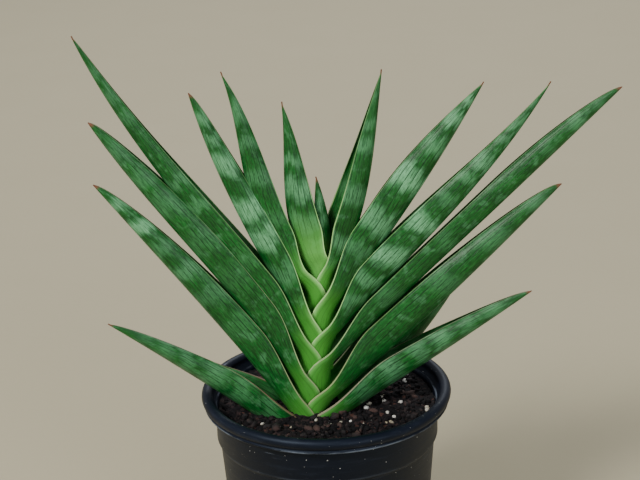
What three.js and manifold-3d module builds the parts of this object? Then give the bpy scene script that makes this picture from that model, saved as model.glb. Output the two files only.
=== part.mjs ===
// A potted Sansevieria suffruticosa: fourteen channelled leaves in one flat fan and one behind it, in
// a black nursery pot of potting mix. Each leaf clasps the stem with a sheath at its foot, opens into
// a channelled blade and ends in a hard point.
//
// Millimetres, +Z up. The origin is the centre of the pot's underside. The fan stands in a plane
// across Y, and its front faces -Y.
import * as THREE from 'three';
import { mergeVertices } from 'three/addons/utils/BufferGeometryUtils.js';
import Module from 'manifold-3d';

const wasm = await Module();
wasm.setup();

// Driving dimensions: the pot
const POT_HEIGHT = 165;
const RIM_RADIUS = 82.5;
const ROLL_RADIUS = 3.6;         // of the rolled lip's section
const BEAD_RADIUS = 81;          // the small band under the lip
const BEAD_BOTTOM = 155.5;
const COLLAR_RADIUS = 73.6;
const COLLAR_FOOT = 132.5;
const WALL_TOP_RADIUS = 71.6;
const WALL_TOP = 130;
const WALL_FOOT_RADIUS = 62;
const FOOT_ROUND = 3.5;
const POT_WALL = 1.6;
const POT_FLOOR = 2.4;
const DRAIN_HOLES = 6;
const DRAIN_RADIUS = 5.5;
const DRAIN_CIRCLE = 46;         // radius of the circle they lie on
const SIDES = 42;                // facets round the pot and the soil

// Driving dimensions: the soil
const SOIL_LEVEL = 152.5;
const CRUMB_RELIEF = 1.1;        // crumbs stand this far above and below the level
const SOIL_RINGS = 11;
const GRAINS = 30;               // the larger bark chips and perlite grains
const GRAIN_HALF = [1.3, 3];     // smallest and largest half length of a grain

// Driving dimensions: the stem, which leans a little to the right
const STEM_FOOT = 126;
const STEM_TOP = 260;
const STEM_X = -10;              // its axis at the height of the soil
const STEM_Y = -9;
const STEM_LEAN = 0.1;           // sideways per unit of height
const STEM_HALF_WIDTH = 6;       // along the fan
const STEM_HALF_DEPTH = 5;       // through the fan
const STEM_TAPER_FROM = 215;     // below this height it is as thick as at its foot
const STEM_TOP_SCALE = 0.35;

const CLEARANCE = 0.3;           // left between pieces that touch

// Driving dimensions: the leaves of the fan, youngest first. side is -1 on the left and 1 on the
// right, foot is the height of the sheath's foot, leans are the blade's degrees from upright at its
// foot, middle and point, girth scales the sheath, depth is keel to margin, taper is how far from its
// point a blade reaches that depth and how full it is on the way (below 1 is fuller), throat is keel
// to margin where the sheath's margins part, and turn is the degrees that the blade's channel faces
// the front (or the rear, below 0).
const FAN = [
  {
    side: 1, foot: 252, leans: [9, -9, -18], length: 61, girth: 0.4,
    depth: 12.5, taper: [55, 0.85], throat: 10, turn: 0,
  },
  {
    side: -1, foot: 243, leans: [30, 1, 4.5], length: 120, girth: 0.62,
    depth: 19.5, taper: [95, 1], throat: 16, turn: -4,
  },
  {
    side: 1, foot: 239, leans: [30, 10.3, 7], length: 145, girth: 0.76,
    depth: 18, taper: [110, 1], throat: 10, turn: 12,
  },
  {
    side: -1, foot: 231, leans: [47.5, 9.5, 18], length: 160, girth: 0.82,
    depth: 18.5, taper: [110, 1], throat: 11.5, turn: -8,
  },
  {
    side: 1, foot: 215, leans: [37, 33, 28], length: 182, girth: 1,
    depth: 20.5, taper: [100, 0.9], throat: 13, turn: -11,
  },
  {
    side: -1, foot: 202, leans: [25, 23, 13], length: 178, girth: 1,
    depth: 17.5, taper: [120, 0.63], throat: 13, turn: -6,
  },
  {
    side: 1, foot: 194, leans: [42.5, 41.5, 29.5], length: 224, girth: 1,
    depth: 19.5, taper: [160, 1], throat: 10.5, turn: -11,
  },
  {
    side: -1, foot: 186, leans: [32, 34, 22], length: 256, girth: 1,
    depth: 18, taper: [240, 0.72], throat: 12, turn: -5,
  },
  {
    side: 1, foot: 176, leans: [46, 45.9, 44.6], length: 264, girth: 1,
    depth: 14, taper: [100, 0.6], throat: 9, turn: -11,
  },
  {
    side: -1, foot: 163, leans: [28, 37, 30], length: 225, girth: 1.06,
    depth: 19.5, taper: [125, 0.6], throat: 12, turn: -6,
  },
  {
    side: 1, foot: 148, leans: [50, 45.4, 42.8], length: 217, girth: 1.08,
    depth: 20.5, taper: [145, 0.6], throat: 12, turn: -12,
  },
  {
    side: -1, foot: 141, leans: [34, 37, 37], length: 208, girth: 1.15,
    depth: 19.7, taper: [150, 0.62], throat: 15, turn: -12,
  },
  {
    side: 1, foot: 131, leans: [58, 56, 54], length: 169, girth: 1.2,
    depth: 19.5, taper: [145, 0.68], throat: 14, turn: -12,
  },
  {
    side: -1, foot: 123, leans: [54, 53.5, 55], length: 149, girth: 1.3,
    depth: 21, taper: [165, 0.75], throat: 20, turn: -24,
  },
];
// The last leaf rises from the soil by itself, behind the right-hand side of the fan.
const REAR = {
  side: 1, foot: 138, leans: [42, 35.8, 24], length: 140, girth: 0.6,
  depth: 17, taper: [110, 0.7], throat: 7, turn: 0,
};
const REAR_X = 17;
const REAR_Y = 15.5;

// Driving dimensions: the sheath and blade that all leaves share
const KEEL_OUT = 11;             // stem axis to the outside of the keel, at the foot
const SHEATH = 16;               // the length over which a leaf bends away from the stem
const THROAT = 14;               // the height at which the sheath's margins part
const LAP = 5.5;                 // how far past the stem's axis they reach at the foot
const LAP_WRAP = 130;            // degrees from the keel to each margin there, and 90 further up
const POINT_WRAP = 145;          // the same in the upper part, where the channel is nearly closed
const CLOSES = [0.35, 0.75];     // shares of the length over which it closes
const SHEATH_HALF = 8.9;         // half of the sheath's size through the fan, at the foot
const SHEATH_WALL = 1.5;
const KEEL_WALL = 2.7;
const FLARE = 0.25;              // how fast the sheath widens as it rises
const FLARE_ENDS = 16;
const BLADE_BEGINS = 60;         // the length at which the blade has its own depth
const BLADE_THINS = 120;         // the length at which it has its own thickness
const BLADE_ASPECT = 0.46;       // a blade's half thickness over its depth
const POINT_RADIUS = 0.4;
const FLESH = [0.17, 0.62, 0.9]; // solid share of the depth, at the foot, in the middle and at the point
const FOOT_STATIONS = [-13, -1, 4, 8, 12, 17, 24, 33, 45]; // the sheath starts below the foot
const BLADE_STATIONS = [0.14, 0.3, 0.46, 0.6, 0.72, 0.82, 0.9, 0.955, 0.985, 1];
const OUTER_POINTS = 7;
const INNER_POINTS = 5;

const COLOURS = { pot: 0x23262c, soil: 0x2e2620, stem: 0x8fae4a, leaf: 0x3c7a3e };

const { degToRad, lerp, clamp, smoothstep } = THREE.MathUtils;

// A repeatable random number from 0 to 1
function randomFrom(seed) {
  let state = seed;
  return () => {
    state = (state * 1664525 + 1013904223) % 4294967296;
    return state / 4294967296;
  };
}

function solidFrom(geometry) {
  const bare = geometry.clone();
  bare.deleteAttribute('normal');
  bare.deleteAttribute('uv');
  const merged = mergeVertices(bare, 1e-4);
  const mesh = new wasm.Mesh({
    numProp: 3,
    vertProperties: new Float32Array(merged.attributes.position.array),
    triVerts: new Uint32Array(merged.index.array),
  });
  return new wasm.Manifold(mesh);
}

function geometryFrom(solid) {
  const mesh = solid.getMesh();
  const geometry = new THREE.BufferGeometry();
  geometry.setAttribute('position', new THREE.BufferAttribute(new Float32Array(mesh.vertProperties), 3));
  geometry.setIndex(new THREE.BufferAttribute(new Uint32Array(mesh.triVerts), 1));
  geometry.computeVertexNormals();
  return geometry;
}

// The largest body of a solid, without the scraps that a cut leaves
function mainBody(solid) {
  return solid.decompose().reduce((best, piece) => (piece.volume() > best.volume() ? piece : best));
}

// A closed skin through rings of equally many points, each ring anticlockwise seen from its far side.
// outline gives a ring's own flat shape, which closes the skin's two ends.
function loft(rings, outlines) {
  const count = rings[0].length;
  const index = [];
  for (let j = 0; j < rings.length - 1; j++) {
    for (let i = 0; i < count; i++) {
      const a = j * count + i;
      const b = j * count + (i + 1) % count;
      index.push(a, b, b + count, a, b + count, a + count);
    }
  }
  const last = (rings.length - 1) * count;
  outlines.forEach((outline, end) => {
    const flip = THREE.ShapeUtils.isClockWise(outline) !== (end === 0);
    for (const [a, b, c] of THREE.ShapeUtils.triangulateShape(outline, [])) {
      const corners = flip ? [c, b, a] : [a, b, c];
      index.push(...corners.map((corner) => corner + end * last));
    }
  });
  const geometry = new THREE.BufferGeometry();
  const points = rings.flat().flatMap((p) => [p.x, p.y, p.z]);
  geometry.setAttribute('position', new THREE.Float32BufferAttribute(points, 3));
  geometry.setIndex(index);
  return geometry;
}

// Stem
const stemX = (z) => STEM_X + STEM_LEAN * (z - SOIL_LEVEL);

function makeStem(grow) {
  const heights = [STEM_FOOT, SOIL_LEVEL, STEM_TAPER_FROM, 240, STEM_TOP];
  const around = 16;
  const rings = heights.map((z) => {
    const taper = clamp((z - STEM_TAPER_FROM) / (STEM_TOP - STEM_TAPER_FROM), 0, 1);
    const scale = lerp(1, STEM_TOP_SCALE, taper);
    return Array.from({ length: around }, (_, i) => {
      const angle = (2 * Math.PI * i) / around;
      return new THREE.Vector3(
        stemX(z) + (STEM_HALF_WIDTH * scale + grow) * Math.cos(angle),
        STEM_Y + (STEM_HALF_DEPTH * scale + grow) * Math.sin(angle),
        z,
      );
    });
  });
  rings[0].forEach((point) => { point.z -= grow; });
  rings.at(-1).forEach((point) => { point.z += grow; });
  const ends = [rings[0], rings.at(-1)].map((ring) => ring.map((p) => new THREE.Vector2(p.x, p.y)));
  return solidFrom(loft(rings, ends));
}

// Leaves, each in its own frame: the stem's axis at the foot's height is the origin, +X is outward
// and +Z is up.

// How far the keel leans from upright, in radians, at a length s from the foot
function leanOf({ leans: [foot, middle, point], girth, length }, s) {
  const sheath = SHEATH * girth;
  const t = clamp((s - sheath) / (length - sheath), 0, 1);
  const lean = foot * (1 - t) * (1 - 2 * t) + 4 * middle * t * (1 - t) + point * t * (2 * t - 1);
  return degToRad(lean) * smoothstep(s, 0, sheath);
}

// Where the outside of the keel runs, as a function of the length along it
function keelOf(leaf) {
  const step = 0.5;
  const points = [new THREE.Vector2(KEEL_OUT * leaf.girth, 0)];
  for (let s = step / 2; s < leaf.length; s += step) {
    const lean = leanOf(leaf, s);
    const end = points.at(-1);
    points.push(new THREE.Vector2(end.x + step * Math.sin(lean), end.y + step * Math.cos(lean)));
  }
  return (s) => {
    if (s < 0) return new THREE.Vector2(points[0].x, s);
    const at = clamp(s / step, 0, points.length - 1.001);
    const first = Math.floor(at);
    return points[first].clone().lerp(points[first + 1], at - first);
  };
}

// The section at one place along a leaf: the angle from keel to margin, the distance between them,
// half the thickness, and the walls at the keel and beside the channel
function sectionOf({ girth, length, depth: full, taper: [reach, swell], throat }, s) {
  const left = length - s;
  const blade = full * Math.sin((Math.PI / 2) * Math.min(1, left / reach)) ** swell;
  const begins = BLADE_BEGINS * girth;
  const parts = THROAT * girth;
  const open = lerp(throat, blade, smoothstep(s, parts, begins));
  const lapped = 1 - smoothstep(s, 0, parts);
  const depth = Math.max(lerp(open, (KEEL_OUT + LAP) * girth, lapped), 2 * POINT_RADIUS);
  const closed = smoothstep(s / length, CLOSES[0], CLOSES[1]);
  const wrap = degToRad(90 + (LAP_WRAP - 90) * lapped + (POINT_WRAP - 90) * closed);
  const sheathHalf = SHEATH_HALF * girth + FLARE * Math.min(s, FLARE_ENDS);
  const bladeHalf = Math.max(BLADE_ASPECT * blade, POINT_RADIUS);
  const half = lerp(sheathHalf, bladeHalf, smoothstep(s, FLARE_ENDS, BLADE_THINS * girth));
  const t = left / length;
  const flesh = t > 0.5
    ? lerp(FLESH[1], FLESH[0], smoothstep(t, 0.5, 1))
    : lerp(FLESH[2], FLESH[1], smoothstep(t, 0, 0.5));
  const keelWall = Math.max(depth * flesh, Math.min(KEEL_WALL * girth, 0.5 * depth));
  const wall = Math.min(Math.max(SHEATH_WALL * girth, 0.9), 0.45 * half);
  return { wrap, depth, half, keelWall, wall };
}

// An arc of an ellipse from margin to margin round the keel, as points that lie inward and sideways
function arc(wrap, depth, half, count) {
  const radius = depth / (1 - Math.cos(wrap));
  return Array.from({ length: count }, (_, i) => {
    const angle = lerp(-wrap, wrap, i / (count - 1));
    return new THREE.Vector2(radius * (1 - Math.cos(angle)), half * Math.sin(angle));
  });
}

function makeLeaf(leaf, grow, filled) {
  const keel = keelOf(leaf);
  const rest = leaf.length - FOOT_STATIONS.at(-1) * leaf.girth;
  const stations = [
    ...FOOT_STATIONS.map((s) => s * leaf.girth),
    ...BLADE_STATIONS.map((share) => leaf.length - rest * (1 - share)),
  ];
  const outlines = [];
  const rings = stations.map((s) => {
    const { wrap, depth, half, keelWall, wall } = sectionOf(leaf, s);
    const outline = arc(wrap, depth + 2 * grow, half + grow, OUTER_POINTS);
    outline.forEach((p) => { p.x -= grow; });
    if (!filled) {
      const channel = arc(wrap, depth - keelWall, half - wall, INNER_POINTS).reverse();
      channel.forEach((p) => { p.x += keelWall; });
      outline.push(...channel);
    }
    const turn = degToRad(leaf.turn) * smoothstep(s, THROAT * leaf.girth, BLADE_BEGINS * leaf.girth);
    outline.forEach((p) => p.rotateAround(new THREE.Vector2(), -leaf.side * turn));
    outlines.push(outline);
    const start = keel(s);
    const lean = leanOf(leaf, s);
    return outline.map((p) => new THREE.Vector3(
      start.x - p.x * Math.cos(lean),
      p.y,
      start.y + p.x * Math.sin(lean),
    ));
  });
  return solidFrom(loft(rings, [outlines[0], outlines.at(-1)]));
}

const placed = (solid, { x, y, z, turn }) => solid.rotate([0, 0, turn]).translate([x, y, z]);
const inFrameOf = (solid, { x, y, z, turn }) => solid.translate([-x, -y, -z]).rotate([0, 0, -turn]);

const leaves = FAN.map((leaf, i) => ({
  ...leaf,
  name: `leaf_${String(i).padStart(2, '0')}`,
  place: { x: stemX(leaf.foot), y: STEM_Y, z: leaf.foot, turn: leaf.side > 0 ? 0 : 180 },
}));
leaves.push({ ...REAR, name: 'leaf_14', place: { x: REAR_X, y: REAR_Y, z: REAR.foot, turn: 0 } });

const stem = makeStem(0);
const roomForStem = makeStem(CLEARANCE);
for (const leaf of leaves) {
  leaf.room = placed(makeLeaf(leaf, CLEARANCE, true), leaf.place);
}

// Each sheath is hollowed by the stem and by the younger leaves that it wraps.
function hollowed(leaf, younger) {
  let solid = placed(makeLeaf(leaf, 0, false), leaf.place);
  for (const room of [roomForStem, ...younger.map((other) => other.room)]) {
    if (solid.intersect(room).volume() > 0) solid = mainBody(solid.subtract(room));
  }
  return inFrameOf(solid, leaf.place);
}

// Pot: one moulded shell, turned about its axis, with drain holes through its floor
function makePot() {
  const rollX = RIM_RADIUS - ROLL_RADIUS;
  const rollZ = POT_HEIGHT - ROLL_RADIUS;
  const roll = [-40, -5, 30, 60, 90, 120, 150, 180].map((degrees) => {
    const angle = degToRad(degrees);
    return [rollX + ROLL_RADIUS * Math.cos(angle), rollZ + ROLL_RADIUS * Math.sin(angle)];
  });
  const profile = [
    [0, 0],
    [WALL_FOOT_RADIUS - FOOT_ROUND, 0],
    [WALL_FOOT_RADIUS - 1, 1],
    [WALL_FOOT_RADIUS, FOOT_ROUND],
    [WALL_TOP_RADIUS, WALL_TOP],
    [COLLAR_RADIUS, COLLAR_FOOT],
    [COLLAR_RADIUS, BEAD_BOTTOM - 1],
    [BEAD_RADIUS - 1, BEAD_BOTTOM],
    [BEAD_RADIUS, BEAD_BOTTOM + 1],
    ...roll,
    [COLLAR_RADIUS - POT_WALL, BEAD_BOTTOM - 1],
    [COLLAR_RADIUS - POT_WALL, COLLAR_FOOT],
    [WALL_TOP_RADIUS - POT_WALL, WALL_TOP],
    [WALL_FOOT_RADIUS - POT_WALL, POT_FLOOR + 2],
    [WALL_FOOT_RADIUS - POT_WALL - 2, POT_FLOOR],
    [0, POT_FLOOR],
  ];
  const shell = new THREE.LatheGeometry(profile.map(([r, z]) => new THREE.Vector2(r, z)), SIDES);
  shell.rotateX(Math.PI / 2);
  let solid = solidFrom(shell);
  for (let i = 0; i < DRAIN_HOLES; i++) {
    const angle = (2 * Math.PI * i) / DRAIN_HOLES;
    const drill = new THREE.CylinderGeometry(DRAIN_RADIUS, DRAIN_RADIUS, 4 * POT_FLOOR, 16);
    drill.rotateX(Math.PI / 2);
    drill.translate(DRAIN_CIRCLE * Math.cos(angle), DRAIN_CIRCLE * Math.sin(angle), 0);
    solid = solid.subtract(solidFrom(drill));
  }
  return solid;
}

// Soil: the mix fills the pot, and its surface has crumbs, chips and grains
function makeSoil() {
  const random = randomFrom(7);
  const top = COLLAR_RADIUS - POT_WALL - CLEARANCE;
  const below = [
    [top, COLLAR_FOOT],
    [WALL_TOP_RADIUS - POT_WALL - CLEARANCE, WALL_TOP],
    [WALL_FOOT_RADIUS - POT_WALL - CLEARANCE, POT_FLOOR + 2 + CLEARANCE],
    [WALL_FOOT_RADIUS - POT_WALL - CLEARANCE - 2, POT_FLOOR + CLEARANCE],
    [0, POT_FLOOR + CLEARANCE],
  ];
  const surface = Array.from({ length: SOIL_RINGS + 1 }, (_, k) => [(top * k) / SOIL_RINGS, SOIL_LEVEL]);
  const profile = [...surface, ...below].reverse().map(([r, z]) => new THREE.Vector2(r, z));
  const body = new THREE.LatheGeometry(profile, SIDES);
  body.rotateX(Math.PI / 2);
  body.deleteAttribute('normal');
  body.deleteAttribute('uv');
  const merged = mergeVertices(body, 1e-3);
  const position = merged.attributes.position;
  for (let i = 0; i < position.count; i++) {
    if (position.getZ(i) < SOIL_LEVEL - 0.01) continue;
    position.setZ(i, SOIL_LEVEL + CRUMB_RELIEF * (2 * random() - 1));
  }
  let solid = solidFrom(merged);
  for (let i = 0; i < GRAINS; i++) {
    const angle = 2 * Math.PI * random();
    const reach = (top - 5) * Math.sqrt(lerp(0.12, 1, random()));
    const long = lerp(GRAIN_HALF[0], GRAIN_HALF[1], random() ** 2);
    const grain = new THREE.IcosahedronGeometry(1, 0);
    grain.scale(long, long * lerp(0.5, 0.9, random()), long * lerp(0.4, 0.7, random()));
    grain.rotateZ(2 * Math.PI * random());
    grain.translate(reach * Math.cos(angle), reach * Math.sin(angle), SOIL_LEVEL + 0.2 * long);
    solid = solid.add(solidFrom(grain));
  }
  for (const room of [roomForStem, ...leaves.map((leaf) => leaf.room)]) {
    if (solid.intersect(room).volume() > 0) solid = solid.subtract(room);
  }
  return mainBody(solid);
}

// Assembly
function material(colour, roughness) {
  return new THREE.MeshStandardMaterial({ color: colour, roughness, metalness: 0 });
}

function meshOf(name, solid, finish) {
  const mesh = new THREE.Mesh(geometryFrom(solid), finish);
  mesh.name = name;
  return mesh;
}

const plant = new THREE.Group();
plant.add(meshOf('stem', stem, material(COLOURS.stem, 0.6)));
const leafFinish = material(COLOURS.leaf, 0.45);
leaves.forEach((leaf, i) => {
  const younger = leaf.name === 'leaf_14' ? [] : leaves.slice(0, i);
  const mesh = meshOf(leaf.name, hollowed(leaf, younger), leafFinish);
  mesh.position.set(leaf.place.x, leaf.place.y, leaf.place.z);
  mesh.rotation.z = degToRad(leaf.place.turn);
  plant.add(mesh);
});

const potted = new THREE.Group();
potted.add(meshOf('pot', makePot(), material(COLOURS.pot, 0.5)));
potted.add(meshOf('soil', makeSoil(), material(COLOURS.soil, 0.95)));
potted.add(plant);

export default potted;
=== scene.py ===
import math
import random

import bmesh
import bpy
from mathutils import Matrix, Vector, noise


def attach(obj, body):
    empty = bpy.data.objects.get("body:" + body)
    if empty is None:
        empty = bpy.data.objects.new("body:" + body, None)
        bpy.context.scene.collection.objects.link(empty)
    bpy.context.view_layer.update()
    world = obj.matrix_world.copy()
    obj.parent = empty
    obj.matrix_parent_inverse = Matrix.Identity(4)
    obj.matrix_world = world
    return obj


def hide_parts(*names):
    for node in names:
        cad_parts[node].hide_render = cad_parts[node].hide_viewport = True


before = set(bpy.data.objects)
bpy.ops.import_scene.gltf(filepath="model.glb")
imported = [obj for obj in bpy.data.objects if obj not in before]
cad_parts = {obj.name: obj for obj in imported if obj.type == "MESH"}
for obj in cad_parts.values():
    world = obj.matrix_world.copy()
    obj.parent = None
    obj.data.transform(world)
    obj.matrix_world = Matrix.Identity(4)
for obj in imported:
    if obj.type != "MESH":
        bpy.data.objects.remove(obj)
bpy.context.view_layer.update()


# Nursery pot: one blow-moulded shell of black polythene with a rolled lip, a narrow bead under it
# and a collar above the tapering wall. Its floor has six punched drain holes, and stacking and
# handling have scuffed it round its girth and left grit on it. Thin pale lines along the bead's
# underside and the collar's foot are painted highlights, broken up by the scuffs.
MM = 0.001
POT_HEIGHT = 165
RIM_RADIUS = 82.5
LIP_RADIUS = 3.6
BEAD_RADIUS = 81
BEAD_FOOT = 155.5
COLLAR_RADIUS = 73.6
COLLAR_FOOT = 132.5
WALL_TOP_RADIUS = 71.6
WALL_TOP = 130
FOOT_RADIUS = 62
POT_WALL = 1.6
POT_FLOOR = 2.4
FOOT_ROUND = 3.2
FOOT_CORNER = 2
BEAD_ROUND = 0.9
DRAINS = 6
DRAIN_RADIUS = 5.5
DRAIN_CIRCLE = 46
POT_STEPS = 160
COLD_BLACK = (0.0015, 0.002, 0.005, 1)
WORN_BLACK = (0.004, 0.006, 0.014, 1)
DUST = (0.02, 0.026, 0.042, 1)
# Colour of the real scratches, and of the painted highlight lines under the bead and at the collar's foot
SCRATCH_AND_HIGHLIGHT = (0.16, 0.19, 0.24, 1)
GRIT = (0.5, 0.5, 0.48, 1)
COOL_SHEEN = (0.62, 0.78, 1, 1)


class Wire:
    """One shader socket. Sums and products written with it become Math nodes in its tree."""

    def __init__(self, tree, socket):
        self.tree = tree
        self.socket = socket

    def math(self, operation, *values):
        node = self.tree.nodes.new("ShaderNodeMath")
        node.operation = operation
        for socket, value in zip(node.inputs, values):
            if isinstance(value, Wire):
                self.tree.links.new(value.socket, socket)
            else:
                socket.default_value = value
        return Wire(self.tree, node.outputs[0])

    def __add__(self, other):
        return self.math("ADD", self, other)

    def __radd__(self, other):
        return self.math("ADD", other, self)

    def __sub__(self, other):
        return self.math("SUBTRACT", self, other)

    def __rsub__(self, other):
        return self.math("SUBTRACT", other, self)

    def __mul__(self, other):
        return self.math("MULTIPLY", self, other)

    def __rmul__(self, other):
        return self.math("MULTIPLY", other, self)

    def __truediv__(self, other):
        return self.math("DIVIDE", self, other)

    def __abs__(self):
        return self.math("ABSOLUTE", self)

    def floor(self):
        return self.math("FLOOR", self)

    def part(self):
        return self.math("FRACT", self)

    def least(self, other):
        return self.math("MINIMUM", self, other)

    def most(self, other):
        return self.math("MAXIMUM", self, other)


class Finish:
    """A material with one Principled shader, and the nodes that vary it over the surface."""

    def __init__(self, name, roughness):
        self.material = bpy.data.materials.new(name)
        self.material.use_nodes = True
        self.tree = self.material.node_tree
        self.shader = self.tree.nodes["Principled BSDF"]
        self.shader.inputs["Roughness"].default_value = roughness

    def node(self, kind, settings=None, sockets=None, output=0):
        node = self.tree.nodes.new(kind)
        for name, value in (settings or {}).items():
            setattr(node, name, value)
        for name, value in (sockets or {}).items():
            if isinstance(value, Wire):
                self.tree.links.new(value.socket, node.inputs[name])
            else:
                node.inputs[name].default_value = value
        return Wire(self.tree, node.outputs[output])

    def place(self):
        return self.node("ShaderNodeTexCoord", output="Object")

    def split(self, vector):
        return [self.node("ShaderNodeSeparateXYZ", {}, {"Vector": vector}, axis) for axis in "XYZ"]

    def join(self, x, y, z):
        return self.node("ShaderNodeCombineXYZ", {}, {"X": x, "Y": y, "Z": z})

    def stretched(self, vector, scale):
        return self.node("ShaderNodeMapping", {}, {"Vector": vector, "Scale": scale})

    def noise(self, vector, scale, detail=2.0, roughness=0.5):
        sockets = {"Vector": vector, "Scale": scale, "Detail": detail, "Roughness": roughness}
        return self.node("ShaderNodeTexNoise", {}, sockets, "Fac")

    def rise(self, value, start, end):
        sockets = {"Value": value, "From Min": start, "From Max": end}
        return self.node("ShaderNodeMapRange", {"interpolation_type": "SMOOTHSTEP"}, sockets)

    def blend(self, share, one, other):
        return self.node("ShaderNodeMix", {"data_type": "RGBA"}, {0: share, 6: one, 7: other}, 2)

    def set(self, socket, wire):
        self.tree.links.new(wire.socket, self.shader.inputs[socket])

    def relief(self, height, distance, strength=1.0):
        sockets = {"Height": height, "Distance": distance, "Strength": strength}
        self.set("Normal", self.node("ShaderNodeBump", {}, sockets))


def curve_round(centre, radius, start, end, steps):
    """Points on an arc of the pot's profile, as radius and height."""
    points = []
    for i in range(steps + 1):
        angle = math.radians(start + (end - start) * i / steps)
        points.append((centre[0] + radius * math.cos(angle), centre[1] + radius * math.sin(angle)))
    return points


def spun(profile, steps):
    """A closed skin: the profile, from axis to axis, turned once about the pot's axis."""
    mesh = bmesh.new()
    line = [mesh.verts.new((radius * MM, 0, height * MM)) for radius, height in profile]
    edges = [mesh.edges.new(pair) for pair in zip(line, line[1:])]
    bmesh.ops.spin(
        mesh, geom=line + edges, cent=(0, 0, 0), axis=(0, 0, 1), angle=math.tau, steps=steps, use_merge=True
    )
    bmesh.ops.remove_doubles(mesh, verts=mesh.verts, dist=1e-6)
    bmesh.ops.recalc_face_normals(mesh, faces=mesh.faces)
    return mesh


def piece_from(name, mesh, material):
    """A smooth shaded piece of the plant or its pot, which rides with the one body."""
    data = bpy.data.meshes.new(name)
    mesh.to_mesh(data)
    mesh.free()
    data.shade_smooth()
    data.materials.append(material)
    piece = bpy.data.objects.new(name, data)
    bpy.context.scene.collection.objects.link(piece)
    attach(piece, "root")
    return piece


lip_centre = (RIM_RADIUS - LIP_RADIUS, POT_HEIGHT - LIP_RADIUS)
inner_top = COLLAR_RADIUS - POT_WALL
pot_profile = [
    (0, 0),
    (FOOT_RADIUS - 12, 0),
    *curve_round((FOOT_RADIUS - FOOT_ROUND, FOOT_ROUND), FOOT_ROUND, -90, -4, 6),
    (WALL_TOP_RADIUS - 0.1, WALL_TOP - 1),
    (WALL_TOP_RADIUS + 0.3, WALL_TOP),
    (COLLAR_RADIUS - 0.5, COLLAR_FOOT - 0.8),
    (COLLAR_RADIUS, COLLAR_FOOT),
    (COLLAR_RADIUS, BEAD_FOOT - 3),
    (COLLAR_RADIUS + 0.6, BEAD_FOOT - 0.7),
    (BEAD_RADIUS - 1.2, BEAD_FOOT - 0.2),
    *curve_round((BEAD_RADIUS - BEAD_ROUND, BEAD_FOOT + 0.7), BEAD_ROUND, -80, 60, 5),
    (BEAD_RADIUS - 0.6, BEAD_FOOT + 2.2),
    *curve_round(lip_centre, LIP_RADIUS, -35, 190, 18),
    (inner_top + 2.4, BEAD_FOOT + 2.4),
    (inner_top + 0.5, BEAD_FOOT),
    (inner_top, BEAD_FOOT - 2),
    (inner_top, COLLAR_FOOT),
    (WALL_TOP_RADIUS - POT_WALL, WALL_TOP),
    (FOOT_RADIUS - POT_WALL, POT_FLOOR + FOOT_CORNER),
    (FOOT_RADIUS - POT_WALL - FOOT_CORNER, POT_FLOOR),
    (0, POT_FLOOR),
]

plastic = Finish("black_polythene", 0.42)
where = plastic.place()
cloud = plastic.noise(where, 22, 3)
scuffs = plastic.noise(plastic.stretched(where, (1, 1, 9)), 38, 5, 0.7)
scratch = plastic.rise(plastic.noise(plastic.stretched(where, (0.5, 0.5, 14)), 90, 2, 0.6), 0.66, 0.74)
patch = plastic.rise(plastic.noise(where, 35, 2), 0.5, 0.62)
grit = plastic.rise(plastic.noise(where, 620, 1, 0.4), 0.765, 0.8)
height = plastic.split(where)[2]
# Painted highlights: thin pale lines along the bead's underside and the collar's foot, broken up by the
# scuffs and drawn in the scratch colour
bead_highlight = plastic.rise(abs(height - BEAD_FOOT * MM - 0.0005), 0.0009, 0.0002)
collar_highlight = plastic.rise(abs(height - COLLAR_FOOT * MM), 0.0011, 0.0002)
highlight_lines = (bead_highlight * 0.7 + collar_highlight * 0.12) * plastic.rise(scuffs, 0.42, 0.6)
black = plastic.blend(cloud, COLD_BLACK, WORN_BLACK)
dusty = plastic.blend(plastic.rise(scuffs, 0.5, 0.8) * 0.5, black, DUST)
scratched_and_highlit = plastic.blend((scratch * patch * 0.6).most(highlight_lines), dusty, SCRATCH_AND_HIGHLIGHT)
plastic.set("Base Color", plastic.blend(grit, scratched_and_highlit, GRIT))
plastic.set("Roughness", 0.36 + scuffs * 0.24 + grit * 0.2)
plastic.relief(scuffs * 0.6 + scratch * 0.3 + grit, 0.0002, 0.5)
plastic.shader.inputs["Specular IOR Level"].default_value = 0.24
plastic.shader.inputs["Specular Tint"].default_value = COOL_SHEEN

solid_shell = piece_from("uncut_shell", spun(pot_profile, POT_STEPS), plastic.material)
punches = bmesh.new()
for i in range(DRAINS):
    turn = Matrix.Rotation(math.tau * i / DRAINS, 4, "Z") @ Matrix.Translation((DRAIN_CIRCLE * MM, 0, 0))
    bmesh.ops.create_cone(
        punches, cap_ends=True, segments=40, radius1=DRAIN_RADIUS * MM, radius2=DRAIN_RADIUS * MM,
        depth=4 * POT_FLOOR * MM, matrix=turn,
    )
punch_set = piece_from("punch_set", punches, plastic.material)
cut = solid_shell.modifiers.new("drains", "BOOLEAN")
cut.operation = "DIFFERENCE"
cut.object = punch_set
cut.solver = "EXACT"
bpy.context.view_layer.update()
shell_mesh = bmesh.new()
shell_mesh.from_object(solid_shell, bpy.context.evaluated_depsgraph_get())
bpy.data.objects.remove(solid_shell)
bpy.data.objects.remove(punch_set)
pot = piece_from("nursery_pot", shell_mesh, plastic.material)
pot.data.set_sharp_from_angle(angle=math.radians(50))
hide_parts("pot")


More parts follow.
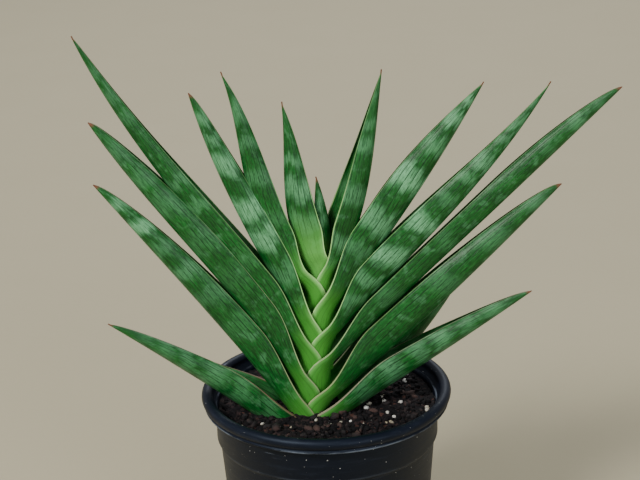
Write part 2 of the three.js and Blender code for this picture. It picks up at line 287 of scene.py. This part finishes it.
# Potting mix: dark peat and fine composted bark that fills the pot to just under the bead. Its
# surface is crumbly, and watering has left it uneven.
SOIL_LEVEL = 152.5
SOIL_GAP = 0.3
SOIL_EDGE = COLLAR_RADIUS - POT_WALL - SOIL_GAP
SOIL_RINGS = 84
SOIL_STEPS = 300
DAMP_PEAT = (0.0012, 0.0011, 0.0018, 1)
PEAT = (0.006, 0.0045, 0.006, 1)
DARK_BARK = (0.024, 0.014, 0.014, 1)
RED_BARK = (0.06, 0.026, 0.02, 1)
GREY_FLECK = (0.3, 0.28, 0.24, 1)

# Clods, crumbs and fine grain: how wide each is, its layer of the noise and how high it stands
SOIL_RELIEF = ((11, 3, 1.5), (4.5, 9, 1.4), (1.9, 21, 0.8))


def soil_height(x, y):
    """The height of the mix's surface at a place given in millimetres."""
    height = SOIL_LEVEL
    for width, layer, swing in SOIL_RELIEF:
        height += swing * noise.noise(Vector((x / width, y / width, layer)))
    return height


soil_profile = [(SOIL_EDGE * i / SOIL_RINGS, SOIL_LEVEL) for i in range(SOIL_RINGS + 1)]
soil_profile += [
    (SOIL_EDGE, COLLAR_FOOT),
    (WALL_TOP_RADIUS - POT_WALL - SOIL_GAP, WALL_TOP),
    (FOOT_RADIUS - POT_WALL - SOIL_GAP, POT_FLOOR + FOOT_CORNER + SOIL_GAP),
    (FOOT_RADIUS - POT_WALL - FOOT_CORNER - SOIL_GAP, POT_FLOOR + SOIL_GAP),
    (0, POT_FLOOR + SOIL_GAP),
]
soil_mesh = spun(soil_profile, SOIL_STEPS)
for vertex in soil_mesh.verts:
    if vertex.co.z > (SOIL_LEVEL - 0.1) * MM:
        vertex.co.z = soil_height(vertex.co.x / MM, vertex.co.y / MM) * MM

mix = Finish("potting_mix", 0.92)
where = mix.place()
cells = mix.node("ShaderNodeTexVoronoi", {}, {"Vector": where, "Scale": 420, "Randomness": 1.0}, "Color")
pick = mix.split(cells)[0]
damp = mix.noise(where, 60, 3)
peat = mix.blend(damp, DAMP_PEAT, PEAT)
barky = mix.blend(mix.rise(pick, 0.62, 0.8), peat, DARK_BARK)
reddish = mix.blend(mix.rise(pick, 0.95, 0.97), barky, RED_BARK)
fleck = mix.rise(mix.noise(where, 700, 1), 0.76, 0.8)
mix.set("Base Color", mix.blend(fleck, reddish, GREY_FLECK))
mix.relief(mix.noise(where, 900, 4, 0.65) + pick * 0.4, 0.0008, 0.8)
mix.shader.inputs["Specular IOR Level"].default_value = 0.25
soil = piece_from("potting_mix", soil_mesh, mix.material)
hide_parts("soil")


# What lies loose in the mix: peat crumbs, chips and shreds of composted pine bark, and grains of
# white perlite that watering has washed up. All are pressed a little way into the surface.
CRUMBS = 2100
BARK_CHIPS = 230
PERLITE = 46
FAN_Y = -9
FAN_LEFT = -62
FAN_RIGHT = 52
CRUMB_SHADE = (0.0015, 0.0014, 0.0022, 1)
CRUMB_BROWN = (0.01, 0.007, 0.008, 1)
DRY_CRUMB = (0.035, 0.022, 0.021, 1)
BARK_SHADE = (0.007, 0.005, 0.006, 1)
BARK_BROWN = (0.07, 0.034, 0.027, 1)
BARK_GRAIN = (0.012, 0.007, 0.007, 1)
BUFF = (0.36, 0.31, 0.21, 1)
WHITE = (0.68, 0.66, 0.62, 1)
SOILED = (0.07, 0.055, 0.045, 1)

# Where the larger chips and grains of the photo lie: x, y and half length
LARGE_CHIPS = ((51, 42, 4.2), (-12, -41, 3.6), (8, -37, 3.0), (39, -8, 3.0))
WASHED_UP = (
    (54, 27, 2.1), (38, -5, 1.9), (49, -4, 1.7), (26, -13, 2.0), (28, -7, 2.0), (44, -27, 1.9),
    (41, -33, 1.8), (66, -13, 1.8), (-7, -29, 1.7), (-23, -37, 1.4), (-42, -31, 1.7), (9, -31, 1.6),
)


def scattered(count, seed, sides, finest, coarsest, flat, clear):
    """Many angular grains on the mix, each turned and squashed its own way, clear of the leaves' feet."""
    chance = random.Random(seed)
    mesh = bmesh.new()
    for _ in range(count):
        angle = chance.uniform(0, math.tau)
        reach = (SOIL_EDGE - 1.5 * coarsest) * math.sqrt(chance.random())
        x = reach * math.cos(angle)
        y = reach * math.sin(angle)
        half = finest + (coarsest - finest) * chance.random() ** 2.2
        if abs(y - FAN_Y) < clear and FAN_LEFT < x < FAN_RIGHT:
            continue
        put_grain(mesh, chance, x, y, half, sides, flat)
    return mesh


def put_grain(mesh, chance, x, y, half, sides, flat):
    """One grain of about twice that half length, with its lower part under the surface."""
    grain = bmesh.new()
    bmesh.ops.create_icosphere(grain, subdivisions=sides, radius=half * MM)
    for vertex in grain.verts:
        vertex.co *= chance.uniform(0.78, 1.15)
    squash = (1, chance.uniform(flat, 0.95), chance.uniform(0.7 * flat, 0.8))
    bmesh.ops.scale(grain, vec=squash, verts=grain.verts)
    tilt = Matrix.Rotation(chance.gauss(0, 0.35), 3, "X") @ Matrix.Rotation(chance.gauss(0, 0.3), 3, "Y")
    spin = Matrix.Rotation(chance.uniform(0, math.tau), 3, "Z") @ tilt
    bmesh.ops.rotate(grain, cent=(0, 0, 0), matrix=spin, verts=grain.verts)
    sunk = soil_height(x, y) + 0.25 * half
    bmesh.ops.translate(grain, vec=(x * MM, y * MM, sunk * MM), verts=grain.verts)
    data = bpy.data.meshes.new("grain")
    grain.to_mesh(data)
    grain.free()
    mesh.from_mesh(data)
    bpy.data.meshes.remove(data)


crumb = Finish("peat_crumb", 0.95)
where = crumb.place()
tone = crumb.noise(where, 130, 2, 0.7)
dark = crumb.blend(crumb.rise(tone, 0.45, 0.6), CRUMB_SHADE, CRUMB_BROWN)
crumb.set("Base Color", crumb.blend(crumb.rise(tone, 0.64, 0.74), dark, DRY_CRUMB))
crumb.relief(crumb.noise(where, 1500, 3), 0.0004, 0.7)
crumb.shader.inputs["Specular IOR Level"].default_value = 0.3
crumbs = scattered(CRUMBS, seed=11, sides=1, finest=0.6, coarsest=2.6, flat=0.45, clear=4)
piece_from("peat_crumbs", crumbs, crumb.material)

bark = Finish("pine_bark", 0.88)
where = bark.place()
grain = bark.noise(bark.stretched(where, (1, 3, 6)), 260, 4, 0.7)
tone = bark.noise(where, 95, 1)
brown = bark.blend(bark.rise(tone, 0.42, 0.66), BARK_SHADE, BARK_BROWN)
bark.set("Base Color", bark.blend(grain * 0.7, brown, BARK_GRAIN))
bark.relief(grain, 0.0007, 0.8)
chips = scattered(BARK_CHIPS, seed=23, sides=1, finest=1.2, coarsest=4.6, flat=0.25, clear=9)
chance = random.Random(3)
for place in LARGE_CHIPS:
    put_grain(chips, chance, *place, sides=2, flat=0.35)
piece_from("bark_chips", chips, bark.material)

glass_foam = Finish("perlite", 0.8)
where = glass_foam.place()
tone = glass_foam.noise(where, 85, 1)
white = glass_foam.blend(glass_foam.rise(tone, 0.35, 0.65), BUFF, WHITE)
soiled = glass_foam.rise(glass_foam.noise(where, 520, 3, 0.7), 0.52, 0.72)
glass_foam.set("Base Color", glass_foam.blend(soiled * 0.75, white, SOILED))
glass_foam.relief(glass_foam.noise(where, 1900, 3), 0.0005, 0.8)
grains = scattered(PERLITE, seed=31, sides=2, finest=0.7, coarsest=1.9, flat=0.6, clear=9)
for place in WASHED_UP:
    put_grain(grains, chance, *place, sides=2, flat=0.65)
piece_from("perlite_grains", grains, glass_foam.material)


# Stem: a short woody stem, wholly wrapped by the leaves' sheaths, with only its growing tip free
# between the two youngest leaves. It stays as the solid model has it.
STEM_X = -10
STEM_LEAN = 0.1
STEM_GREEN = (0.1, 0.2, 0.04, 1)
STEM_PALE = (0.3, 0.46, 0.13, 1)

pith = Finish("green_stem", 0.5)
where = pith.place()
rings = pith.noise(pith.stretched(where, (1, 1, 4)), 90, 3)
pith.set("Base Color", pith.blend(rings, STEM_GREEN, STEM_PALE))
pith.relief(rings, 0.0005, 0.5)
stem_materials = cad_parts["stem"].data.materials
stem_materials.clear()
stem_materials.append(pith.material)


# Leaves: each is one grown piece with a clasping sheath at its foot, a thick channelled blade and a
# hard brown point. They stand in two ranks, youngest first in this list. Grey-green bands cross
# them, broken up by fine dark lines, and a thin line, pale or brown, runs along each margin.
KEEL_OUT = 11
SHEATH = 16
THROAT = 14
LAP = 5.5
LAP_WRAP = 130
POINT_WRAP = 145
CLOSES = (0.35, 0.75)
SHEATH_HALF = 8.9
SHEATH_WALL = 1.5
KEEL_WALL = 2.7
FLARE = 0.25
FLARE_ENDS = 16
BLADE_BEGINS = 60
BLADE_THINS = 120
BLADE_ASPECT = 0.46
POINT_RADIUS = 0.4
FLESH = (0.17, 0.62, 0.9)
TAIL = 13
RING_STEP = 2.5
LEAN_STEPS = 6
POINT_RINGS = (6.5, 4.5, 3, 1.8, 0.9, 0.35, 0)
BACK_STEPS = 34
CHANNEL_STEPS = 16
LINES = 6.7
LITTLE_LEAF_FOOT = (17, 15.5)
DEEP_GREEN = (0.001, 0.026, 0.005, 1)
LEAF_GREEN = (0.0055, 0.105, 0.013, 1)
FLECK_GREEN = (0.026, 0.18, 0.04, 1)
BAND_GREEN = (0.14, 0.4, 0.19, 1)
FRESH_GREEN = (0.045, 0.29, 0.024, 1)
PALE_GREEN = (0.36, 0.8, 0.24, 1)
OLD_POINT = (0.16, 0.06, 0.03, 1)

# side, foot, leans, length, girth, depth, taper, throat and turn are those of the solid leaf. bands
# are the pale bands: place along the leaf, half width and strength. fresh is how far the bright
# green of its foot reaches, and edge is the colour of its margins.
LEAVES = {
    "leaf_00": dict(
        side=1, foot=252, leans=(9, -9, -18), length=61, girth=0.4, depth=12.5, taper=(55, 0.85),
        throat=10, turn=0, bands=((44, 5, 0.5), (30, 4, 0.4)), fresh=26, edge=(0.3, 0.42, 0.2, 1),
    ),
    "leaf_01": dict(
        side=-1, foot=243, leans=(30, 1, 4.5), length=120, girth=0.62, depth=19.5, taper=(95, 1),
        throat=16, turn=-4, bands=((84, 4, 0.4), (65, 7, 0.6), (42, 8, 0.35)), fresh=58,
        edge=(0.42, 0.74, 0.27, 1),
    ),
    "leaf_02": dict(
        side=1, foot=239, leans=(30, 10.3, 7), length=145, girth=0.76, depth=18, taper=(110, 1),
        throat=10, turn=12, bands=((112, 4, 0.3), (99, 5, 0.4), (66, 7, 0.45), (31, 6, 0.5), (14, 5, 0.3)),
        fresh=22, edge=(0.42, 0.74, 0.27, 1),
    ),
    "leaf_03": dict(
        side=-1, foot=231, leans=(47.5, 9.5, 18), length=160, girth=0.82, depth=18.5, taper=(110, 1),
        throat=11.5, turn=-8, bands=((134, 7, 0.4), (113, 4, 0.3), (90, 6, 0.25), (62, 7, 0.15)),
        fresh=46, edge=(0.38, 0.66, 0.25, 1),
    ),
    "leaf_04": dict(
        side=1, foot=215, leans=(37, 33, 28), length=182, girth=1, depth=20.5, taper=(100, 0.9),
        throat=13, turn=-11,
        bands=((168, 4, 0.7), (154, 5, 0.85), (134, 6, 0.45), (106, 8, 0.95), (72, 8, 0.65), (50, 5, 0.25)),
        fresh=30, edge=(0.42, 0.72, 0.27, 1),
    ),
    "leaf_05": dict(
        side=-1, foot=202, leans=(25, 23, 13), length=178, girth=1, depth=17.5, taper=(120, 0.63),
        throat=13, turn=-6,
        bands=((162, 5, 0.6), (147, 4, 0.45), (130, 8, 0.8), (96, 9, 0.9), (74, 8, 0.85), (48, 7, 0.3)),
        fresh=36, edge=(0.42, 0.72, 0.27, 1),
    ),
    "leaf_06": dict(
        side=1, foot=194, leans=(42.5, 41.5, 29.5), length=224, girth=1, depth=19.5, taper=(160, 1),
        throat=10.5, turn=-11,
        bands=(
            (207, 4, 0.25), (192, 5, 0.45), (178, 4, 0.4), (160, 6, 0.65), (145, 4, 0.35), (126, 4, 0.25),
            (106, 7, 0.95), (76, 8, 0.85), (56, 4, 0.4), (40, 5, 0.3),
        ),
        fresh=26, edge=(0.4, 0.68, 0.26, 1),
    ),
    "leaf_07": dict(
        side=-1, foot=186, leans=(32, 34, 22), length=256, girth=1, depth=18, taper=(240, 0.72),
        throat=12, turn=-5,
        bands=((230, 5, 0.25), (214, 5, 0.25), (197, 5, 0.2), (147, 5, 0.3), (127, 5, 0.3), (80, 8, 0.12)),
        fresh=30, edge=(0.34, 0.54, 0.22, 1),
    ),
    "leaf_08": dict(
        side=1, foot=176, leans=(46, 45.9, 44.6), length=264, girth=1, depth=14, taper=(100, 0.6),
        throat=9, turn=-11,
        bands=((246, 5, 0.2), (229, 5, 0.4), (205, 5, 0.15), (118, 6, 0.15), (68, 8, 0.15)),
        fresh=24, edge=(0.34, 0.5, 0.22, 1),
    ),
    "leaf_09": dict(
        side=-1, foot=163, leans=(28, 37, 30), length=225, girth=1.06, depth=19.5, taper=(125, 0.6),
        throat=12, turn=-6,
        bands=((200, 9, 0.25), (178, 7, 0.25), (156, 9, 0.22), (122, 9, 0.15), (92, 9, 0.1)),
        fresh=34, edge=(0.36, 0.48, 0.22, 1),
    ),
    "leaf_10": dict(
        side=1, foot=148, leans=(50, 45.4, 42.8), length=217, girth=1.08, depth=20.5, taper=(145, 0.6),
        throat=12, turn=-12, bands=((197, 7, 0.35), (162, 9, 0.25), (120, 9, 0.2)),
        fresh=36, edge=(0.36, 0.44, 0.2, 1),
    ),
    "leaf_11": dict(
        side=-1, foot=141, leans=(34, 37, 37), length=208, girth=1.15, depth=19.7, taper=(150, 0.62),
        throat=15, turn=-12,
        bands=((188, 5, 0.75), (167, 6, 0.9), (149, 5, 0.25), (128, 6, 0.35), (105, 7, 0.2), (80, 8, 0.12)),
        fresh=34, edge=(0.34, 0.4, 0.19, 1),
    ),
    "leaf_12": dict(
        side=1, foot=131, leans=(58, 56, 54), length=169, girth=1.2, depth=19.5, taper=(145, 0.68),
        throat=14, turn=-12,
        bands=((142, 7, 0.35), (123, 6, 0.25), (103, 6, 0.4), (86, 6, 0.35), (64, 8, 0.45), (42, 7, 0.25)),
        fresh=40, edge=(0.36, 0.32, 0.22, 1),
    ),
    # leaf_13, the oldest: its margins are an old leaf's papery brown, painted darker still as shade along
    # its far wall low by the mix
    "leaf_13": dict(
        side=-1, foot=123, leans=(54, 53.5, 55), length=149, girth=1.3, depth=21, taper=(165, 0.75),
        throat=20, turn=-24,
        bands=((126, 6, 0.15), (110, 6, 0.22), (94, 6, 0.26), (74, 7, 0.3), (55, 7, 0.24), (32, 6, 0.22)),
        fresh=18, edge=(0.2, 0.13, 0.08, 1),
    ),
    "leaf_14": dict(
        side=1, foot=138, leans=(42, 35.8, 24), length=140, girth=0.6, depth=17, taper=(110, 0.7),
        throat=7, turn=0, bands=((90, 6, 0.2), (60, 6, 0.2)), fresh=20, edge=(0.2, 0.26, 0.18, 1),
    ),
}


def smooth(value, start, end):
    """A smooth step from 0 at start to 1 at end."""
    share = min(1, max(0, (value - start) / (end - start)))
    return share * share * (3 - 2 * share)


def between(one, other, share):
    return one + (other - one) * share


def lean_at(leaf, along):
    """How far the keel leans from upright, in radians."""
    foot, middle, point = leaf["leans"]
    sheath = SHEATH * leaf["girth"]
    t = min(1, max(0, (along - sheath) / (leaf["length"] - sheath)))
    lean = foot * (1 - t) * (1 - 2 * t) + 4 * middle * t * (1 - t) + point * t * (2 * t - 1)
    return math.radians(lean) * smooth(along, 0, sheath)


def section_at(leaf, along):
    """The wrap, depth, half thickness, keel wall and side wall of the leaf at a place along it."""
    girth = leaf["girth"]
    reach, swell = leaf["taper"]
    left = leaf["length"] - along
    blade = leaf["depth"] * math.sin(math.pi / 2 * min(1, max(0, left) / reach)) ** swell
    begins = BLADE_BEGINS * girth
    parts = THROAT * girth
    opened = between(leaf["throat"], blade, smooth(along, parts, begins))
    lapped = 1 - smooth(along, 0, parts)
    depth = max(between(opened, (KEEL_OUT + LAP) * girth, lapped), 2 * POINT_RADIUS)
    closed = smooth(along / leaf["length"], *CLOSES)
    wrap = math.radians(90 + (LAP_WRAP - 90) * lapped + (POINT_WRAP - 90) * closed)
    sheath_half = SHEATH_HALF * girth + FLARE * min(along, FLARE_ENDS)
    blade_half = max(BLADE_ASPECT * blade, POINT_RADIUS)
    half = between(sheath_half, blade_half, smooth(along, FLARE_ENDS, BLADE_THINS * girth))
    t = left / leaf["length"]
    if t > 0.5:
        flesh = between(FLESH[1], FLESH[0], smooth(t, 0.5, 1))
    else:
        flesh = between(FLESH[2], FLESH[1], smooth(t, 0, 0.5))
    keel_wall = max(depth * flesh, min(KEEL_WALL * girth, 0.5 * depth))
    wall = min(max(SHEATH_WALL * girth, 0.9), 0.45 * half)
    return wrap, depth, half, keel_wall, wall


def ring_at(leaf, along):
    """The closed outline at one place, as inward and sideways distances with each point's share round
    the leaf and its distance from the nearer margin. The back comes first, then the channel."""
    wrap, depth, half, keel_wall, wall = section_at(leaf, along)
    points = []
    for steps, deep, wide, start in (
        (BACK_STEPS, depth, half, 0),
        (CHANNEL_STEPS, depth - keel_wall, half - wall, keel_wall),
    ):
        radius = deep / (1 - math.cos(wrap))
        row = []
        for i in range(steps + 1):
            share = math.sin(math.pi * (i / steps - 0.5))
            angle = wrap * share
            row.append((start + radius * (1 - math.cos(angle)), wide * math.sin(angle), share))
        points.append(row)
    back, channel = points
    outline = []
    for row, inside in ((back, 0.0), (channel[::-1], 1.0)):
        lengths = [0.0]
        for one, other in zip(row, row[1:]):
            lengths.append(lengths[-1] + math.dist(one[:2], other[:2]))
        for (inward, aside, share), run in zip(row, lengths):
            outline.append((inward, aside, share, min(run, lengths[-1] - run), inside))
    return outline


def leaf_mesh(leaf, x0, y0):
    """The leaf's skin: one ring of points at its foot, extruded from place to place up to its point."""
    stations = [-TAIL * leaf["girth"]]
    while stations[-1] < leaf["length"] - 9:
        stations.append(stations[-1] + RING_STEP)
    stations += [leaf["length"] - left for left in POINT_RINGS]
    mesh = bmesh.new()
    growth = mesh.verts.layers.float_vector.new("growth")
    channel = mesh.verts.layers.float.new("channel")
    keel_x = KEEL_OUT * leaf["girth"]
    keel_z = stations[0]
    begins = BLADE_BEGINS * leaf["girth"]
    parts = THROAT * leaf["girth"]
    edges = None
    for i, along in enumerate(stations):
        if i:
            step = (along - stations[i - 1]) / LEAN_STEPS
            for k in range(LEAN_STEPS):
                lean = lean_at(leaf, stations[i - 1] + (k + 0.5) * step)
                keel_x += step * math.sin(lean)
                keel_z += step * math.cos(lean)
        outline = ring_at(leaf, along)
        if edges is None:
            ring = [mesh.verts.new((0, 0, 0)) for _ in outline]
            edges = [mesh.edges.new((ring[k], ring[(k + 1) % len(ring)])) for k in range(len(ring))]
            first = list(edges)
        else:
            made = bmesh.ops.extrude_edge_only(mesh, edges=edges)["geom"]
            above = {item for item in made if isinstance(item, bmesh.types.BMVert)}
            ring = [
                next(edge.other_vert(below) for edge in below.link_edges if edge.other_vert(below) in above)
                for below in ring
            ]
            made_edges = [item for item in made if isinstance(item, bmesh.types.BMEdge)]
            edges = [edge for edge in made_edges if above.issuperset(edge.verts)]
        lean = lean_at(leaf, along)
        turn = leaf["side"] * math.radians(leaf["turn"]) * smooth(along, parts, begins)
        for vertex, (inward, aside, share, rim, inside) in zip(ring, outline):
            deep = inward * math.cos(turn) + aside * math.sin(turn)
            wide = aside * math.cos(turn) - inward * math.sin(turn)
            vertex.co = (
                (x0 + leaf["side"] * (keel_x - deep * math.cos(lean))) * MM,
                (y0 + leaf["side"] * wide) * MM,
                (leaf["foot"] + keel_z + deep * math.sin(lean)) * MM,
            )
            vertex[growth] = (along, share * leaf["side"], rim)
            vertex[channel] = inside
    bmesh.ops.holes_fill(mesh, edges=first)
    bmesh.ops.holes_fill(mesh, edges=edges)
    bmesh.ops.recalc_face_normals(mesh, faces=mesh.faces)
    return mesh


def leaf_finish(name, leaf, seed):
    """Living leaf skin: dark green ground, pale bands, fine lines, fresh foot, pale margins, hard point."""
    skin = Finish(name, 0.4)
    growth = skin.node("ShaderNodeAttribute", {"attribute_name": "growth"}, {}, "Vector")
    inside = skin.node("ShaderNodeAttribute", {"attribute_name": "channel"}, {}, "Fac")
    along, share, rim = skin.split(growth)
    left = leaf["length"] - along

    # Fine dark lines that run the length of the blade, in broken stretches
    drift = skin.noise(skin.join(along / 70, share, seed), 1, 1)
    strip = share * LINES + drift * 0.8
    cell = strip.floor()
    off = strip.part()
    gap = off.least(1 - off)
    broken = skin.noise(skin.join(along / 7, cell * 3.7, seed + 40), 1, 2)
    line = skin.rise(gap, 0.11, 0.03) * skin.rise(broken, 0.38, 0.5)
    half_line = skin.rise(abs(off - 0.5), 0.07, 0.02) * skin.rise(broken, 0.55, 0.62) * 0.7
    line = line.most(half_line)

    # Short pale flecks and the dark ground that they lie on
    fibre = skin.noise(skin.join(along / 4.5, share * 30, seed + 7), 1, 3, 0.65)
    flecks = skin.noise(skin.join(along / 6, share * 24, seed + 13), 1, 2, 0.6)
    patch = skin.rise(skin.noise(skin.join(along / 15, share * 1.6, seed + 19), 1, 2), 0.36, 0.64)
    # The channel's inner faces get a lighter ground: painted light that lifts the shade between its walls
    lively_and_lit_channel = skin.rise(fibre, 0.34, 0.6) * 0.62 + patch * 0.25 + 0.14 + inside * 0.2
    ground = skin.blend(lively_and_lit_channel, DEEP_GREEN, LEAF_GREEN)
    ground = skin.blend(skin.rise(flecks, 0.5, 0.66) * (0.2 + patch * 0.35), ground, FLECK_GREEN)

    # Pale bands, whose edges step from line to line
    chances = {"W": cell + seed * 1.7}
    jump = skin.node("ShaderNodeTexWhiteNoise", {"noise_dimensions": "1D"}, chances, "Value")
    wave = skin.noise(skin.join(along / 24, share * 1.8, seed + 3), 1, 2)
    ragged = skin.noise(skin.join(along / 3.5, cell * 2.3, seed + 27), 1, 2)
    at = along + (jump - 0.5) * 5 + (wave - 0.5) * 14 + (ragged - 0.5) * 5
    band = None
    for place, half, strength in leaf["bands"]:
        one = skin.rise(abs(at - place) / half, 1.5, 0.25) * strength
        band = one if band is None else band.most(one)
    stray = skin.rise(skin.noise(skin.join(along / 7, share * 3.4, seed + 11), 1, 2, 0.5), 0.53, 0.7)
    broken_up = 0.4 + skin.rise(fibre, 0.28, 0.62) * 0.68
    band = band.most(stray * 0.26) * broken_up * (1 - inside * 0.5)
    banded = skin.blend(band, ground, BAND_GREEN)
    lined = skin.blend(line * 0.88, banded, DEEP_GREEN)

    # The sheath's fresh green, palest in the small leaves and beside the margins
    reach = leaf["fresh"]
    tender = 0.2 if leaf["girth"] < 0.7 else 0.06
    bright = 0.85 if 180 < leaf["foot"] < 240 else 0.45
    fresh = skin.rise(along + (wave - 0.5) * 12 + (fibre - 0.5) * 8, reach, reach * 0.1)
    young = skin.blend(fresh * (0.68 + fibre * 0.4 - line * 0.3 - inside * 0.2), lined, FRESH_GREEN)
    young = skin.blend(fresh * tender, young, PALE_GREEN)
    glow = skin.rise(along, reach * 0.8, 0) * skin.rise(rim, 3.6, 0.3)
    young = skin.blend(glow * bright * 0.9, young, PALE_GREEN)

    # Margins and point
    width = 0.34 + skin.rise(along, 60, 5) * 0.3
    shown = 0.2 + skin.rise(along, 100, 15) * 0.75
    edged = skin.blend(skin.rise(rim / width, 1.3, 0.6) * shown, young, leaf["edge"])
    worn = skin.rise(left + (wave - 0.5) * 3, 4.5, 1.5)
    skin.set("Base Color", skin.blend(worn, edged, OLD_POINT))
    skin.set("Roughness", 0.34 + fibre * 0.14 + band * 0.12)
    skin.relief(fibre * 0.6 - line * 0.5 + band * 0.1, 0.00025, 0.7)
    skin.shader.inputs["Specular IOR Level"].default_value = 0.28
    return skin.material


# The little leaf_14 has a foot of its own behind the fan, and all the others grow from the stem
for number, (node, leaf) in enumerate(LEAVES.items()):
    if node == "leaf_14":
        foot = LITTLE_LEAF_FOOT
    else:
        foot = (STEM_X + STEM_LEAN * (leaf["foot"] - SOIL_LEVEL), FAN_Y)
    material = leaf_finish("skin_of_" + node, leaf, number * 5.3)
    blade = piece_from("blade" + node[4:], leaf_mesh(leaf, *foot), material)
    blade.data.set_sharp_from_angle(angle=math.radians(75))
    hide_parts(node)


# Studio: a pale paper floor that fills the view, a soft key lamp at the upper left in front, a wider
# and weaker one at the right, one high behind, and the camera, which looks down at the fan's front.
LENS = 84.4
SENSOR = 36
CAMERA_AT = Vector((0, -0.903, 0.592))
PITCH = math.radians(19.82)
YAW = math.radians(-0.07)
ROLL = math.radians(1.74)
FLOOR_RADIUS = 9
FLOOR_TAN = (0.405, 0.362, 0.24, 1)
FLOOR_PALE = (0.435, 0.392, 0.265, 1)
SKY = (0.93, 0.95, 1, 1)
SKY_STRENGTH = 0.42

paper = Finish("floor_paper", 0.9)
where = paper.place()
tone = paper.noise(where, 9, 3) * 0.6 + paper.noise(where, 160, 2) * 0.4
paper.set("Base Color", paper.blend(tone, FLOOR_TAN, FLOOR_PALE))
floor_mesh = bmesh.new()
bmesh.ops.create_circle(floor_mesh, cap_ends=True, segments=96, radius=FLOOR_RADIUS)
floor_data = bpy.data.meshes.new("floor")
floor_mesh.to_mesh(floor_data)
floor_mesh.free()
floor_data.materials.append(paper.material)
floor = bpy.data.objects.new("floor", floor_data)
bpy.context.scene.collection.objects.link(floor)


def soft_lamp(name, place, target, size, power, colour):
    """A square soft box that faces its target."""
    light = bpy.data.lights.new(name, "AREA")
    light.size = size
    light.energy = power
    light.color = colour
    lamp = bpy.data.objects.new(name, light)
    lamp.location = place
    lamp.rotation_euler = (Vector(target) - Vector(place)).to_track_quat("-Z", "Y").to_euler()
    bpy.context.scene.collection.objects.link(lamp)


soft_lamp("key", (-1.9, -2.3, 2.7), (0, 0.2, 0.15), 0.9, 150, (1, 0.98, 0.94))
soft_lamp("fill", (1.6, -3.0, 1.3), (0, 0.2, 0.2), 1.8, 42, (0.96, 0.98, 1))
soft_lamp("top", (0.4, 2.6, 2.8), (0, 0.8, 0.1), 2.0, 60, (1, 1, 1))
world = bpy.data.worlds.new("studio")
world.use_nodes = True
backdrop = world.node_tree.nodes["Background"]
backdrop.inputs["Color"].default_value = SKY
backdrop.inputs["Strength"].default_value = SKY_STRENGTH
bpy.context.scene.world = world

eye = bpy.data.cameras.new("camera")
eye.lens = LENS
eye.sensor_width = SENSOR
camera = bpy.data.objects.new("camera", eye)
forward = Vector((math.sin(YAW) * math.cos(PITCH), math.cos(YAW) * math.cos(PITCH), -math.sin(PITCH)))
level = forward.cross(Vector((0, 0, 1))).normalized()
upward = level.cross(forward)
right = math.cos(ROLL) * level - math.sin(ROLL) * upward
up = math.sin(ROLL) * level + math.cos(ROLL) * upward
turned = Matrix((right, up, -forward)).transposed().to_4x4()
camera.matrix_world = Matrix.Translation(CAMERA_AT) @ turned
bpy.context.scene.collection.objects.link(camera)
bpy.context.scene.camera = camera
